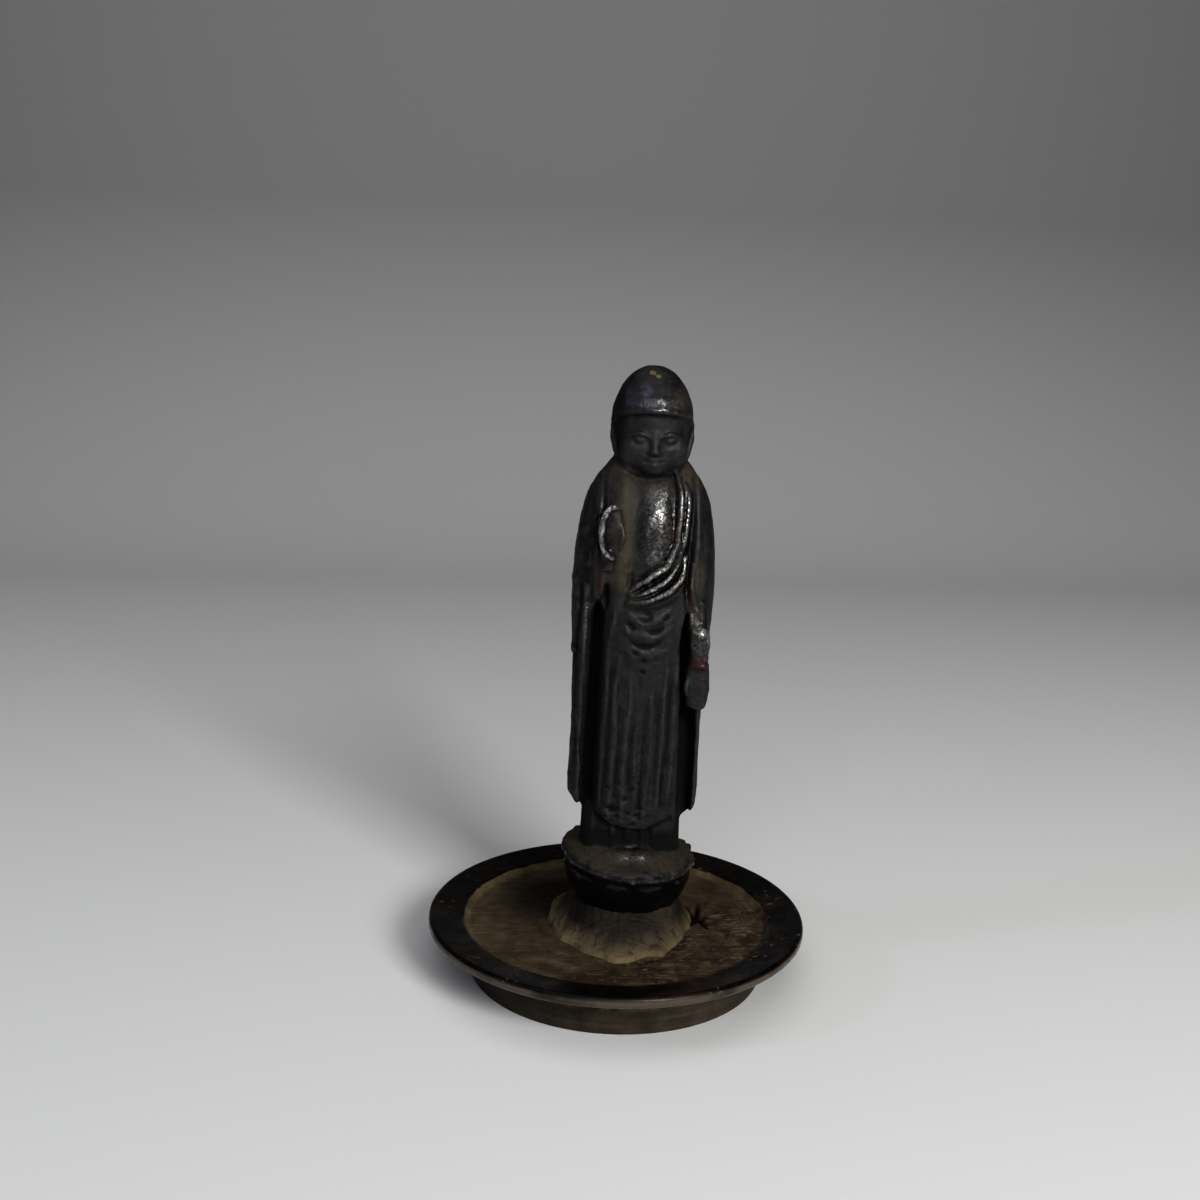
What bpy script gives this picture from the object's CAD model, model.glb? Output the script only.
"""A small cast bronze Buddha on a lotus seat, bedded in a filler mound on a round turned wooden stand.

Metres in the frame's own axes: +Z up, the figure looks along -Y, the origin under the stand's middle.
Shapes are worked out in millimetres and scaled by MM where their vertices are set.
"""

import math

import bpy
import numpy as np
from mathutils import Matrix, Vector


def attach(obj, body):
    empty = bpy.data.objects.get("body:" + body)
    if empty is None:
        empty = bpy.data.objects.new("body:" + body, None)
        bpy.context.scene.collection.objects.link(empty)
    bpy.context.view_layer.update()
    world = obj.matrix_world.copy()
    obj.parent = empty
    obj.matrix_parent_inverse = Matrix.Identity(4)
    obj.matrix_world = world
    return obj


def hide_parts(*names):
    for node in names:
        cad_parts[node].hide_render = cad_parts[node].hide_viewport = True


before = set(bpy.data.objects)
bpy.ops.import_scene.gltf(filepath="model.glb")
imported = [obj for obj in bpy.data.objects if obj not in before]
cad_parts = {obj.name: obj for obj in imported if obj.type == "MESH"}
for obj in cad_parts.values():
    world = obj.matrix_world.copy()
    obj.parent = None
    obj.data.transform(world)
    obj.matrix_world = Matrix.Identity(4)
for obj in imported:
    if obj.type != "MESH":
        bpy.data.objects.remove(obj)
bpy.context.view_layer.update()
MM = 0.001

# The view, the studio and the light
# The camera stands a little to the figure's right, looks down on it by 10.5 degrees and is held slightly
# turned. The floor is one pale sheet that sweeps up behind. A small key light stands at the front right,
# wide soft ones hang overhead and in front, and a weak bluish one is far to the left.

EYE = Vector((-0.02191, -0.22062, 0.10896))
LOOK_RIGHT = math.radians(4.5)
LOOK_DOWN = math.radians(10.52)
ROLL = math.radians(1.67)
FIELD_OF_VIEW = math.radians(50)

view_data = bpy.data.cameras.new("photo_view")
view_data.sensor_fit = "HORIZONTAL"
view_data.angle = FIELD_OF_VIEW
view_data.clip_start = 0.01
camera = bpy.data.objects.new("photo_view", view_data)
camera.matrix_world = (
    Matrix.Translation(EYE)
    @ Matrix.Rotation(-LOOK_RIGHT, 4, "Z")
    @ Matrix.Rotation(math.pi / 2 - LOOK_DOWN, 4, "X")
    @ Matrix.Rotation(ROLL, 4, "Z")
)
bpy.context.scene.collection.objects.link(camera)
bpy.context.scene.camera = camera
bpy.context.scene.view_settings.view_transform = "Standard"
bpy.context.scene.view_settings.look = "High Contrast"


def add_node(tree, kind, feeds=(), **settings):
    """Adds a node. A feed that is a socket is linked, any other value is set on the input itself."""
    node = tree.nodes.new(kind)
    for name, value in settings.items():
        setattr(node, name, value)
    for place, value in feeds.items() if isinstance(feeds, dict) else enumerate(feeds):
        if isinstance(value, bpy.types.NodeSocket):
            tree.links.new(value, node.inputs[place])
        elif value is not None:
            node.inputs[place].default_value = value
    return node


def new_finish(name, **plain):
    """A material, its shader with the values that are the same all over, and the place on the surface"""
    finish = bpy.data.materials.new(name)
    finish.use_nodes = True
    shader = finish.node_tree.nodes["Principled BSDF"]
    for socket, value in plain.items():
        shader.inputs[socket.replace("_", " ")].default_value = value
    return finish, shader, add_node(finish.node_tree, "ShaderNodeTexCoord").outputs["Object"]


def feed_shader(shader, **feeds):
    """Links the shader's sockets to what colours, roughens or bumps the surface"""
    for socket, value in feeds.items():
        shader.id_data.links.new(value, shader.inputs[socket.replace("_", " ")])


def tree_of(values):
    """The node tree that the sockets among some values belong to"""
    return next(value.id_data for value in values if isinstance(value, bpy.types.NodeSocket))


def output_of(kind, feeds, **settings):
    """The first output of a new node, in the tree of the sockets that feed it"""
    tree = tree_of(feeds.values() if isinstance(feeds, dict) else feeds)
    return add_node(tree, kind, feeds, **settings).outputs[0]


def spread(value, low, high):
    """Turns values from low to high into 0 to 1 and holds them there"""
    return output_of("ShaderNodeMapRange", {"Value": value, "From Min": low, "From Max": high})


def mixed(one, other, share, kind="FLOAT"):
    """One number or colour, going over to another by a share"""
    values = {"A": one, "B": other, "Factor": share}
    tree = tree_of(values.values())
    mix = add_node(tree, "ShaderNodeMix", data_type=kind)
    for socket in mix.inputs:
        value = values.get(socket.name) if socket.enabled else None
        if isinstance(value, bpy.types.NodeSocket):
            tree.links.new(value, socket)
        elif value is not None:
            socket.default_value = (*value, 1) if isinstance(value, tuple) else value
    return next(socket for socket in mix.outputs if socket.enabled)


def layered(colour, *layers):
    """A colour with others laid over it in turn, each by its own share"""
    for over, share in layers:
        colour = mixed(colour, over, share, "RGBA")
    return colour


def new_piece(name, points, faces, finish):
    """A mesh object at the origin, its points given in millimetres, with smooth shading"""
    mesh = bpy.data.meshes.new(name)
    mesh.from_pydata((np.asarray(points) * MM).tolist(), [], np.asarray(faces).tolist())
    mesh.shade_smooth()
    mesh.materials.append(finish)
    piece = bpy.data.objects.new(name, mesh)
    bpy.context.scene.collection.objects.link(piece)
    return piece


FLOOR_FRONT = -900
SWEEP_START = 420
SWEEP_RADIUS = 380
WALL_TOP = 480
FLOOR_HALF_WIDTH = 1300
PAPER_PALE = (0.665, 0.665, 0.655)
PAPER_SHADED = (0.375, 0.37, 0.37)
SHADED_HEIGHT = 220

paper, paper_shader, paper_place = new_finish("studio_paper", Roughness=0.75, Specular_IOR_Level=0.2)
paper_height = add_node(paper_place.id_data, "ShaderNodeSeparateXYZ", [paper_place]).outputs["Z"]
paper_rise = spread(paper_height, 0, SHADED_HEIGHT * MM)
feed_shader(paper_shader, Base_Color=layered(PAPER_PALE, (PAPER_SHADED, paper_rise)))

bends = np.linspace(0, math.pi / 2, 25)
sweep = [(FLOOR_FRONT, 0)]
sweep += [
    (SWEEP_START + SWEEP_RADIUS * math.sin(bend), SWEEP_RADIUS * (1 - math.cos(bend))) for bend in bends
]
sweep += [(SWEEP_START + SWEEP_RADIUS, WALL_TOP)]
sweep_points = [(side * FLOOR_HALF_WIDTH, y, z) for side in (-1, 1) for y, z in sweep]
steps = len(sweep)
sweep_faces = [(i, i + steps, i + steps + 1, i + 1) for i in range(steps - 1)]
new_piece("studio_floor", sweep_points, sweep_faces, paper)


def add_softbox(name, place, aim, width, height, watts, colour=(1, 1, 1)):
    """A rectangular area light at a place, turned to face a point"""
    light = bpy.data.lights.new(name, "AREA")
    light.shape = "RECTANGLE"
    light.size, light.size_y = width, height
    light.energy = watts
    light.color = colour
    box = bpy.data.objects.new(name, light)
    box.location = place
    box.rotation_euler = (Vector(aim) - Vector(place)).to_track_quat("-Z", "Y").to_euler()
    bpy.context.scene.collection.objects.link(box)


FIGURE_MIDDLE = (0.002, 0, 0.06)
add_softbox("key_front_right", (0.265, -0.565, 0.37), FIGURE_MIDDLE, 0.22, 0.22, 3.3)
add_softbox("overhead", (-0.1, -0.1, 0.85), (0, 0.1, 0), 0.95, 0.95, 1.8)
add_softbox("front_sky", (-0.02, -0.8, 0.55), (-0.05, 0.05, 0), 0.8, 0.5, 2.6)
add_softbox("fill_left", (-0.52, -0.14, 0.31), FIGURE_MIDDLE, 0.07, 0.07, 0.26, (0.7, 0.74, 1))

world = bpy.data.worlds.new("studio_air")
world.use_nodes = True
world.node_tree.nodes["Background"].inputs["Color"].default_value = (0.5, 0.52, 0.55, 1)
world.node_tree.nodes["Background"].inputs["Strength"].default_value = 0.02
bpy.context.scene.world = world

# The turned stand
# One disc of hardwood turned on a lathe: a straight foot ring, a wide flange and a shallow recess. The
# flange keeps a dark glossy lacquer, the recess is bare dry wood whose grain runs round a cracked knot.

FLANGE_RADIUS = 34
FLANGE_TOP = 10.35
FLANGE_THICKNESS = 2
FLANGE_FALL = 0.85
RECESS_RADIUS = 27.8
RECESS_FLOOR = 8.4
RECESS_COVE = 0.9
FOOT_RADIUS = 26.5
FOOT_FLARE = 0.8
FOOT_RING = 4.5
FOOT_HOLLOW = 1.2
FLANGE_UNDERSIDE = FLANGE_TOP - FLANGE_THICKNESS
STAND_PROFILE = [
    (0, FOOT_HOLLOW),
    (FOOT_RADIUS - FOOT_RING - FOOT_HOLLOW, FOOT_HOLLOW),
    (FOOT_RADIUS - FOOT_RING, 0),
    (FOOT_RADIUS, 0),
    (FOOT_RADIUS + FOOT_FLARE, FLANGE_UNDERSIDE),
    (FLANGE_RADIUS - 0.5, FLANGE_UNDERSIDE),
    (FLANGE_RADIUS, FLANGE_UNDERSIDE + 0.55),
    (FLANGE_RADIUS, FLANGE_TOP - 0.5),
    (FLANGE_RADIUS - 0.45, FLANGE_TOP),
    (FLANGE_RADIUS - 1.1, FLANGE_TOP - 0.12),
    (RECESS_RADIUS, FLANGE_TOP - FLANGE_FALL),
    (RECESS_RADIUS - RECESS_COVE, RECESS_FLOOR),
    (0, RECESS_FLOOR),
]


def new_tree(name, **sizes):
    """A Geometry Nodes tree with a geometry in and out, and a named number for each size"""
    tree = bpy.data.node_groups.new(name, "GeometryNodeTree")
    tree.interface.new_socket("Geometry", in_out="INPUT", socket_type="NodeSocketGeometry")
    tree.interface.new_socket("Geometry", in_out="OUTPUT", socket_type="NodeSocketGeometry")
    for label, value in sizes.items():
        kind = "NodeSocketInt" if isinstance(value, int) else "NodeSocketFloat"
        socket = tree.interface.new_socket(label.replace("_", " "), in_out="INPUT", socket_type=kind)
        socket.default_value = value
    return tree, tree.nodes.new("NodeGroupInput").outputs


def close_tree(tree, geometry, finish):
    """Ends a tree: instances made real, smooth shading, and the piece's material"""
    real = output_of("GeometryNodeRealizeInstances", [geometry])
    smooth = output_of("GeometryNodeSetShadeSmooth", [real])
    dressed = output_of("GeometryNodeSetMaterial", {"Geometry": smooth, "Material": finish})
    add_node(tree, "NodeGroupOutput", [dressed])


def made_by(tree, start, name, **sizes):
    """Runs a tree on a start object and keeps what it makes as a plain mesh object at the origin"""
    modifier = start.modifiers.new("made", "NODES")
    modifier.node_group = tree
    for item in tree.interface.items_tree:
        label = item.name.replace(" ", "_")
        if item.in_out == "INPUT" and label in sizes:
            modifier[item.identifier] = sizes[label]
    bpy.context.view_layer.update()
    view = bpy.context.evaluated_depsgraph_get()
    mesh = bpy.data.meshes.new_from_object(start.evaluated_get(view), depsgraph=view)
    mesh.name = name
    bpy.data.objects.remove(start)
    piece = bpy.data.objects.new(name, mesh)
    bpy.context.scene.collection.objects.link(piece)
    return piece


def maths(operation, *feeds):
    return output_of("ShaderNodeMath", feeds, operation=operation)


def plus(one, other):
    return maths("ADD", one, other)


def minus(one, other):
    return maths("SUBTRACT", one, other)


def times(one, other):
    return maths("MULTIPLY", one, other)


def joined(x, y):
    """A flat place made of two numbers"""
    return output_of("ShaderNodeCombineXYZ", {"X": x, "Y": y})


def stretched(place, x, y, z):
    """The place, scaled by its own factor along each axis"""
    return output_of("ShaderNodeVectorMath", [place, (x, y, z)], operation="MULTIPLY")


def cloud(place, scale, low=0.35, high=0.65, detail=4, roughness=0.55):
    """Soft blots of noise from 0 to 1"""
    feeds = {"Vector": place, "Scale": scale, "Detail": detail, "Roughness": roughness}
    return spread(output_of("ShaderNodeTexNoise", feeds), low, high)


def hairlines(place, ways, rise):
    """Thin scratches that run a few ways: each one's turn and scale, and the noise that it starts at"""
    lines = 0
    for turn, scale, low in ways:
        feeds = {"Vector": place, "Rotation": (0, 0, turn), "Scale": (1, 16, 1)}
        lines = plus(lines, cloud(output_of("ShaderNodeMapping", feeds), scale, low, low + rise, 2))
    return lines


def mark(shader, name):
    """A value from 0 to 1 that the mesh carries"""
    return add_node(shader.id_data, "ShaderNodeAttribute", attribute_name=name).outputs["Fac"]


def dent(shader, height, depth, normal=None):
    """Bumps the surface by a height from 0 to 1, as deep as given in millimetres"""
    feeds = {"Height": height, "Distance": depth * MM, "Strength": 1, "Normal": normal}
    bumped = output_of("ShaderNodeBump", feeds)
    feed_shader(shader, Normal=bumped)
    return bumped


stand_wood, shader, place = new_finish("turned_hardwood", Specular_IOR_Level=0.22)
x, y, z = add_node(place.id_data, "ShaderNodeSeparateXYZ", [place]).outputs
radius = maths("SQRT", plus(maths("POWER", x, 2), maths("POWER", y, 2)))
ragged_radius = plus(radius, times(minus(cloud(place, 260), 0.5), 0.3 * MM))
on_top = spread(z, 4 * MM, 5 * MM)
in_recess = times(on_top, spread(ragged_radius, (RECESS_RADIUS + 0.05) * MM, (RECESS_RADIUS - 0.2) * MM))
below_flange = spread(z, (FLANGE_UNDERSIDE + 0.05) * MM, (FLANGE_UNDERSIDE - 0.25) * MM)
foot_reach = FOOT_RADIUS + FOOT_FLARE
on_foot = times(below_flange, spread(radius, (foot_reach + 1.1) * MM, (foot_reach + 0.7) * MM))
front_right = spread(minus(x, times(y, 1.3)), 6 * MM, 24 * MM)

# Bare wood: soft streaks along the grain, brown blots and mottles, the arcs of the lathe tool, a dark band
# and pale spots at the front right, pale dust at the edge, scratches, soot and the knot's black cracks
grain = mark(shader, "across_grain")
along = joined(times(x, 45), times(grain, 1.1))
streaks = cloud(along, 1, 0.25, 0.75, 5, 0.7)
fine_streaks = cloud(joined(times(x, 260), times(grain, 5)), 1, 0.35, 0.7, 4)
wood_blots = cloud(place, 75, 0.35, 0.65, 6, 0.62)
round_axis = joined(times(radius, 1500), times(maths("ARCTAN2", y, x), 1.6))
tool_marks = times(cloud(round_axis, 1, 0.5, 0.68, 3), mixed(0.2, 0.8, front_right))
dark_band = times(front_right, cloud(along, 1.7, 0.4, 0.66, 4, 0.6))
dusty_edge = times(spread(radius, 26.2 * MM, 27.2 * MM), cloud(place, 110, 0.38, 0.6))
scratches = hairlines(place, [(0.5, 150, 0.7), (-0.35, 170, 0.7), (1.25, 190, 0.71)], 0.04)
scratches = times(scratches, cloud(place, 90, 0.4, 0.6, 2))
mottles = times(cloud(place, 330, 0.46, 0.6, 5, 0.68), mixed(0.25, 0.75, front_right))
pale_spots = cloud(stretched(place, 1, 1.6, 1), 520, 0.59, 0.7, 4, 0.6)
close_scratches = hairlines(place, [(0.8, 260, 0.62), (-0.5, 240, 0.62), (0.1, 280, 0.62)], 0.06)
close_scratches = times(close_scratches, mark(shader, "scratched"))
close_scratches = times(close_scratches, cloud(place, 480, 0.44, 0.56, 3))
bare = layered(
    (0.044, 0.027, 0.012),
    ((0.175, 0.137, 0.085), wood_blots),
    ((0.028, 0.017, 0.009), times(streaks, 0.7)),
    ((0.15, 0.122, 0.08), times(fine_streaks, 0.25)),
    ((0.018, 0.011, 0.006), times(cloud(place, 160, 0.42, 0.66, 5, 0.65), 0.6)),
    ((0.014, 0.009, 0.005), times(tool_marks, cloud(place, 85, 0.36, 0.6))),
    ((0.026, 0.014, 0.007), times(dark_band, 0.8)),
    ((0.19, 0.155, 0.09), times(dusty_edge, 0.55)),
    ((0.26, 0.23, 0.17), maths("MINIMUM", times(scratches, 0.5), 0.6)),
    ((0.022, 0.012, 0.006), mottles),
    ((0.22, 0.185, 0.12), times(pale_spots, mixed(0.06, 0.48, front_right))),
    ((0.34, 0.31, 0.25), maths("MINIMUM", close_scratches, 0.75)),
    ((0.006, 0.004, 0.003), times(mark(shader, "sooty"), 0.9)),
    ((0.0012, 0.001, 0.0008), mark(shader, "cracked")),
)

# Lacquer: near black and glossy, worn to a red brown in blots, more so at the front right, with pale
# specks, and worn down to the wood along the rim's edge
RIM_MIDDLE = 9.1
rim_height = maths("ABSOLUTE", minus(z, RIM_MIDDLE * MM))
rim_band = times(spread(radius, 33.3 * MM, 33.7 * MM), spread(rim_height, 0.9 * MM, 0.5 * MM))
rim_worn = times(rim_band, cloud(place, 110, 0.25, 0.5))
lacquer = layered(
    (0.0025, 0.0018, 0.0016),
    ((0.03, 0.014, 0.008), times(cloud(place, 170, 0.48, 0.7, 5, 0.6), mixed(0.35, 0.85, front_right))),
    ((0.11, 0.085, 0.05), times(cloud(place, 900, 0.66, 0.72, 1), cloud(place, 60, 0.5, 0.62))),
    ((0.1, 0.084, 0.063), times(rim_worn, 0.85)),
)

# The foot and the underside: thin stain over the wood, drawn down in blots and darker at the left
STAIN_DARK = (0.006, 0.005, 0.004)
drips = cloud(stretched(place, 1, 1, 0.8), 150, 0.25, 0.78, 6, 0.65)
foot_lines = cloud(stretched(place, 0.12, 0.12, 3), 400, 0.4, 0.7, 2)
stain = layered(
    (0.016, 0.011, 0.007),
    ((0.085, 0.067, 0.046), drips),
    ((0.13, 0.11, 0.08), times(foot_lines, 0.2)),
    (STAIN_DARK, times(cloud(place, 70, 0.5, 0.65), 0.6)),
    (STAIN_DARK, times(spread(x, 6 * MM, -18 * MM), 0.4)),
)

glossy = minus(mixed(0.22, 0.52, cloud(place, 240, 0.3, 0.7)), times(rim_band, 0.12))
rough = mixed(mixed(glossy, mixed(0.42, 0.62, drips), on_foot), mixed(0.62, 0.82, streaks), in_recess)
feed_shader(shader, Base_Color=layered(lacquer, (stain, on_foot), (bare, in_recess)), Roughness=rough)
wood_relief = plus(times(wood_blots, 0.5), times(fine_streaks, 0.25))
dent(shader, mixed(times(cloud(place, 420, 0.3, 0.7), 0.25), wood_relief, in_recess), 0.12)

lathe, given = new_tree("turned_on_the_lathe", Segments=400, Step=0.00036, Edge_Radius=0.00022)
feeds = {"Curve": given["Geometry"], "Count": 3, "Radius": given["Edge Radius"], "Limit Radius": True}
rounded = output_of("GeometryNodeFilletCurve", feeds, mode="POLY")
feeds = {"Curve": rounded, "Length": given["Step"]}
stepped = output_of("GeometryNodeResampleCurve", feeds, mode="LENGTH")
feeds = {"Resolution": given["Segments"], "Radius": 1e-6}
turned_over = output_of("GeometryNodeReverseCurve", [output_of("GeometryNodeCurvePrimitiveCircle", feeds)])
spun = output_of("GeometryNodeCurveToMesh", {"Curve": turned_over, "Profile Curve": stepped})
welded = output_of("GeometryNodeMergeByDistance", {"Geometry": spun, "Distance": 1e-5})
close_tree(lathe, welded, stand_wood)

profile_data = bpy.data.curves.new("stand_profile", "CURVE")
profile_data.dimensions = "3D"
profile = profile_data.splines.new("POLY")
profile.points.add(len(STAND_PROFILE) - 1)
for point, (reach, height) in zip(profile.points, STAND_PROFILE):
    point.co = (reach * MM, -height * MM, 0, 1)
profile_curve = bpy.data.objects.new("stand_profile", profile_data)
bpy.context.scene.collection.objects.link(profile_curve)
stand = made_by(lathe, profile_curve, "turned_stand_wood", Segments=400)

KNOT = (15.3, 1.4)
KNOT_REACH = 4.6
KNOT_CRACKS = [
    ([KNOT, (15.4, 3.4), (15.9, 5), (16.1, 6.8)], 0.62),
    ([KNOT, (14.7, 2.8), (14.1, 4.2), (13.6, 6.4)], 0.72),
    ([KNOT, (14.5, -0.4), (13.8, -1.9), (13, -3.2)], 0.85),
    ([KNOT, (16.2, 0.8), (17.2, 0.3)], 1),
    ([KNOT, (15.8, -1.4), (16.1, -3.4), (16.4, -5)], 0.55),
]
RECESS_HOLES = [
    (4.2, -16.9, 0.55), (3.3, -17.6, 0.45), (2.7, -19.2, 0.35), (5.4, -16.4, 0.4),
    (8.6, -13.9, 0.5), (9.6, -12.6, 0.5), (10.7, -10.9, 0.5), (11.6, -8.9, 0.4),
]


def mesh_points(piece):
    points = np.empty(len(piece.data.vertices) * 3, np.float32)
    piece.data.vertices.foreach_get("co", points)
    return points.reshape(-1, 3).astype(float) / MM


def set_mesh_points(piece, points):
    piece.data.vertices.foreach_set("co", (points * MM).astype(np.float32).ravel())
    piece.data.update()


def add_mark(piece, name, values):
    """Stores one number for each vertex, which the material reads by its name"""
    layer = piece.data.attributes.new(name, "FLOAT", "POINT")
    layer.data.foreach_set("value", np.asarray(values, np.float32))


def limit(value):
    return np.clip(value, 0, 1)


def off_line(x, y, path):
    """Distance from a line through a few points, and how far along it the nearest place is, 0 to 1"""
    line = np.array(path, float)
    start, step = line[:-1], np.diff(line, axis=0)
    share = ((x[:, None] - start[:, 0]) * step[:, 0] + (y[:, None] - start[:, 1]) * step[:, 1])
    share = limit(share / (step**2).sum(1))
    away = np.hypot(x[:, None] - start[:, 0] - share * step[:, 0],
                    y[:, None] - start[:, 1] - share * step[:, 1])
    nearest = away.argmin(1)
    picked = np.arange(len(x))
    return away[picked, nearest], (nearest + share[picked, nearest]) / len(step)


points = mesh_points(stand)
x, y, z = points.T
floor_part = (z > RECESS_FLOOR - 0.05) & (np.hypot(x, y) < RECESS_RADIUS - 0.5)
cracked = np.zeros(len(x))
sink = np.zeros(len(x))
for path, width in KNOT_CRACKS:
    away, share = off_line(x, y, path)
    hollow = limit(1.6 - away / (width * (1.15 - share)))
    cracked = np.maximum(cracked, hollow)
    sink = np.maximum(sink, hollow * (1.5 - share))
for hole_x, hole_y, size in RECESS_HOLES:
    hollow = limit(1.6 - np.hypot(x - hole_x, (y - hole_y) * 1.2) / size)
    cracked = np.maximum(cracked, hollow)
    sink = np.maximum(sink, hollow * 0.7)
from_knot = np.hypot(x - KNOT[0], y - KNOT[1])
knot_hole = limit(1.5 - from_knot / 1.15)
cracked = np.maximum(cracked, knot_hole)
sink = np.maximum(sink, knot_hole * 1.6) + 0.25 * np.exp(-((from_knot / 3.4) ** 2))
across = (y - KNOT[1]) * (1 - (KNOT_REACH / np.maximum(from_knot, KNOT_REACH)) ** 2)
across = np.where(from_knot < KNOT_REACH, from_knot - KNOT_REACH, across)
points[:, 2] = z - floor_part * sink
set_mesh_points(stand, points)
add_mark(stand, "cracked", cracked * floor_part)
add_mark(stand, "across_grain", across)
rng = np.random.default_rng(7)
scratched = np.zeros(len(x))
for _ in range(38):
    start = rng.normal((20, 0.4), (2, 2.4))
    end = start + rng.normal((2.2, -1.8), 0.6)
    away, share = off_line(x, y, [start, end])
    scratched = np.maximum(scratched, limit(1.4 - away / 0.7) * rng.uniform(0.3, 1))
add_mark(stand, "scratched", scratched * floor_part)
soot = 0
for soot_x, soot_y, half_width, half_depth, strength in ((-8.5, 9.5, 10.5, 9, 1.96), (4, 13, 16, 6, 0.14)):
    soot = soot + strength * np.exp(-(((x - soot_x) / half_width) ** 2) - ((y - soot_y) / half_depth) ** 2)
add_mark(stand, "sooty", limit(soot))
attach(stand, "root")
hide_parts("turned_stand")

# The setting mound
# A low heap of brown filler that beds the casting's neck in the recess. It was pressed down by hand, ran
# out in lobes, and has dried crumbly with a pale thin edge.

MOUND_MIDDLE = (1.2, -3.2)
MOUND_EDGE = [(-11.2, 8.4), (-11.7, 5.3), (-12.1, 1), (-12, -3), (-11.5, -5.8), (-10, -9), (-8.1, -11.5),
              (-6.3, -14.4), (-3.3, -15.7), (-2.7, -17.4), (-1.5, -18.4), (0.2, -17.9), (1.7, -17.2),
              (3.6, -15.6), (5.4, -15), (6.8, -15.9), (7.8, -14.4), (8.5, -12.8), (10, -10.6), (11, -8.6),
              (12.4, -5.6), (13.4, -2.5), (13.9, 0.3), (13.4, 3.7), (13, 6.6), (11.9, 9.6), (8, 12),
              (2, 12.8), (-5, 12), (-9, 10.6)]
MOUND_RISE = 5.6
MOUND_LIP = 0.5
POCKET_GAP = 0.3
POCKET_FLOOR = 10.2
SEAT_NECK = 8.8
FIGURE_X = 1.9
LEAN = math.radians(1.2)
LEAN_HEIGHT = 21
NECK_HEIGHT = 11

filler, shader, place = new_finish("brown_filler", Specular_IOR_Level=0.25)
lumps = cloud(place, 200, 0.25, 0.75, 6, 0.62)
earth = layered(
    (0.04, 0.03, 0.02),
    ((0.115, 0.092, 0.06), lumps),
    ((0.006, 0.005, 0.004), times(mark(shader, "sooty"), 0.96)),
    ((0.012, 0.01, 0.009), times(cloud(place, 700, 0.55, 0.7, 2), 0.7)),
    ((0.16, 0.127, 0.066), times(mark(shader, "dry_edge"), 0.7)),
)
feed_shader(shader, Base_Color=earth, Roughness=mixed(0.6, 0.85, lumps))
dent(shader, cloud(place, 900, 0.25, 0.75, 4, 0.6), 0.2)

SPOKES = 600
turn = np.arange(SPOKES) * 2 * math.pi / SPOKES
edge = np.array(MOUND_EDGE) - MOUND_MIDDLE
edge_turn = np.unwrap(np.arctan2(edge[:, 1], edge[:, 0]))
order = np.argsort(edge_turn % (2 * math.pi))
outline = np.interp(turn, (edge_turn % (2 * math.pi))[order], np.hypot(*edge.T)[order], period=2 * math.pi)
for _ in range(SPOKES // 15):
    outline = (np.roll(outline, 1) + 2 * outline + np.roll(outline, -1)) / 4
rng = np.random.default_rng(11)
for lobes, size in ((9, 0.14), (17, 0.1), (29, 0.04)):
    outline = outline + size * np.sin(lobes * turn + rng.uniform(0, 6.28))


def soft_noise(flat, size, seed):
    """Rolling lumps from -1 to 1 about as wide as the size, as sums of a few slanted waves"""
    rng = np.random.default_rng(seed)
    total = 0
    for layer in range(3):
        for _ in range(6):
            way = rng.normal(size=3)
            way = way / np.linalg.norm(way) * 2 * math.pi / size * 1.9**layer * rng.uniform(0.7, 1.3)
            total = total + np.sin(flat @ way[:2] + rng.uniform(0, 6.28)) / 1.7**layer
    return total / 5


def ring(flat, height):
    """One ring of the heap's skin: its points on the plan, at one height or at heights of their own"""
    return np.column_stack([flat, np.broadcast_to(height, SPOKES)])


aim = np.stack([np.cos(turn), np.sin(turn)], 1)
rim = np.array(MOUND_MIDDLE) + aim * outline[:, None]
neck_middle = np.array((FIGURE_X - (LEAN_HEIGHT - NECK_HEIGHT) * math.sin(LEAN), 0))
neck = neck_middle + aim * (SEAT_NECK + POCKET_GAP)
pole = neck_middle + aim * 0.02
smooth_rim = rim.copy()
for _ in range(SPOKES // 8):
    smooth_rim = (np.roll(smooth_rim, 1, 0) + smooth_rim + np.roll(smooth_rim, -1, 0)) / 3
rings = [ring(flat, RECESS_FLOOR) for flat in (pole, rim * 0.9 + neck_middle * 0.1, rim)]
edges_out = np.linspace(0, 1, 64)
for share in edges_out:
    ragged_share = (1 - share) ** 3
    flat = (rim * ragged_share + smooth_rim * (1 - ragged_share)) * (1 - share) + neck * share
    lip = MOUND_LIP * math.sqrt(min(1, share * 14))
    height = RECESS_FLOOR + lip + (MOUND_RISE - MOUND_LIP) * (0.55 * share + 0.45 * share**2)
    lumpy = soft_noise(flat, 5.5, 3) * 0.28 + soft_noise(flat, 1.1, 4) * 0.07
    rings.append(ring(flat, height + lumpy * min(1, 4 * share)))
rings += [ring(flat, POCKET_FLOOR) for flat in (neck, pole)]
grid = np.array(rings)
count = len(grid)
index = np.arange(count * SPOKES).reshape(count, SPOKES)
ahead = np.roll(index, -1, axis=1)
mound_faces = np.stack([index[:-1], ahead[:-1], ahead[1:], index[1:]], -1).reshape(-1, 4)
mound = new_piece("setting_mound_filler", grid.reshape(-1, 3), mound_faces, filler)
shares = np.concatenate([[1, 1, 0], edges_out, [1, 1]])
pale = limit(1.15 - shares * 4)[:, None] ** 1.5 * (0.75 + 0.25 * np.sin(7 * turn + 1)[None])
add_mark(mound, "dry_edge", pale.ravel())
sooty = limit((shares - 0.25) / 0.34)[:, None] * (0.85 + 0.15 * np.sin(5 * turn + 2)[None])
sooty = sooty * limit(1.25 + 0.5 * np.cos(turn - 2.4)[None]) * (shares > 0.02)[:, None]
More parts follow.
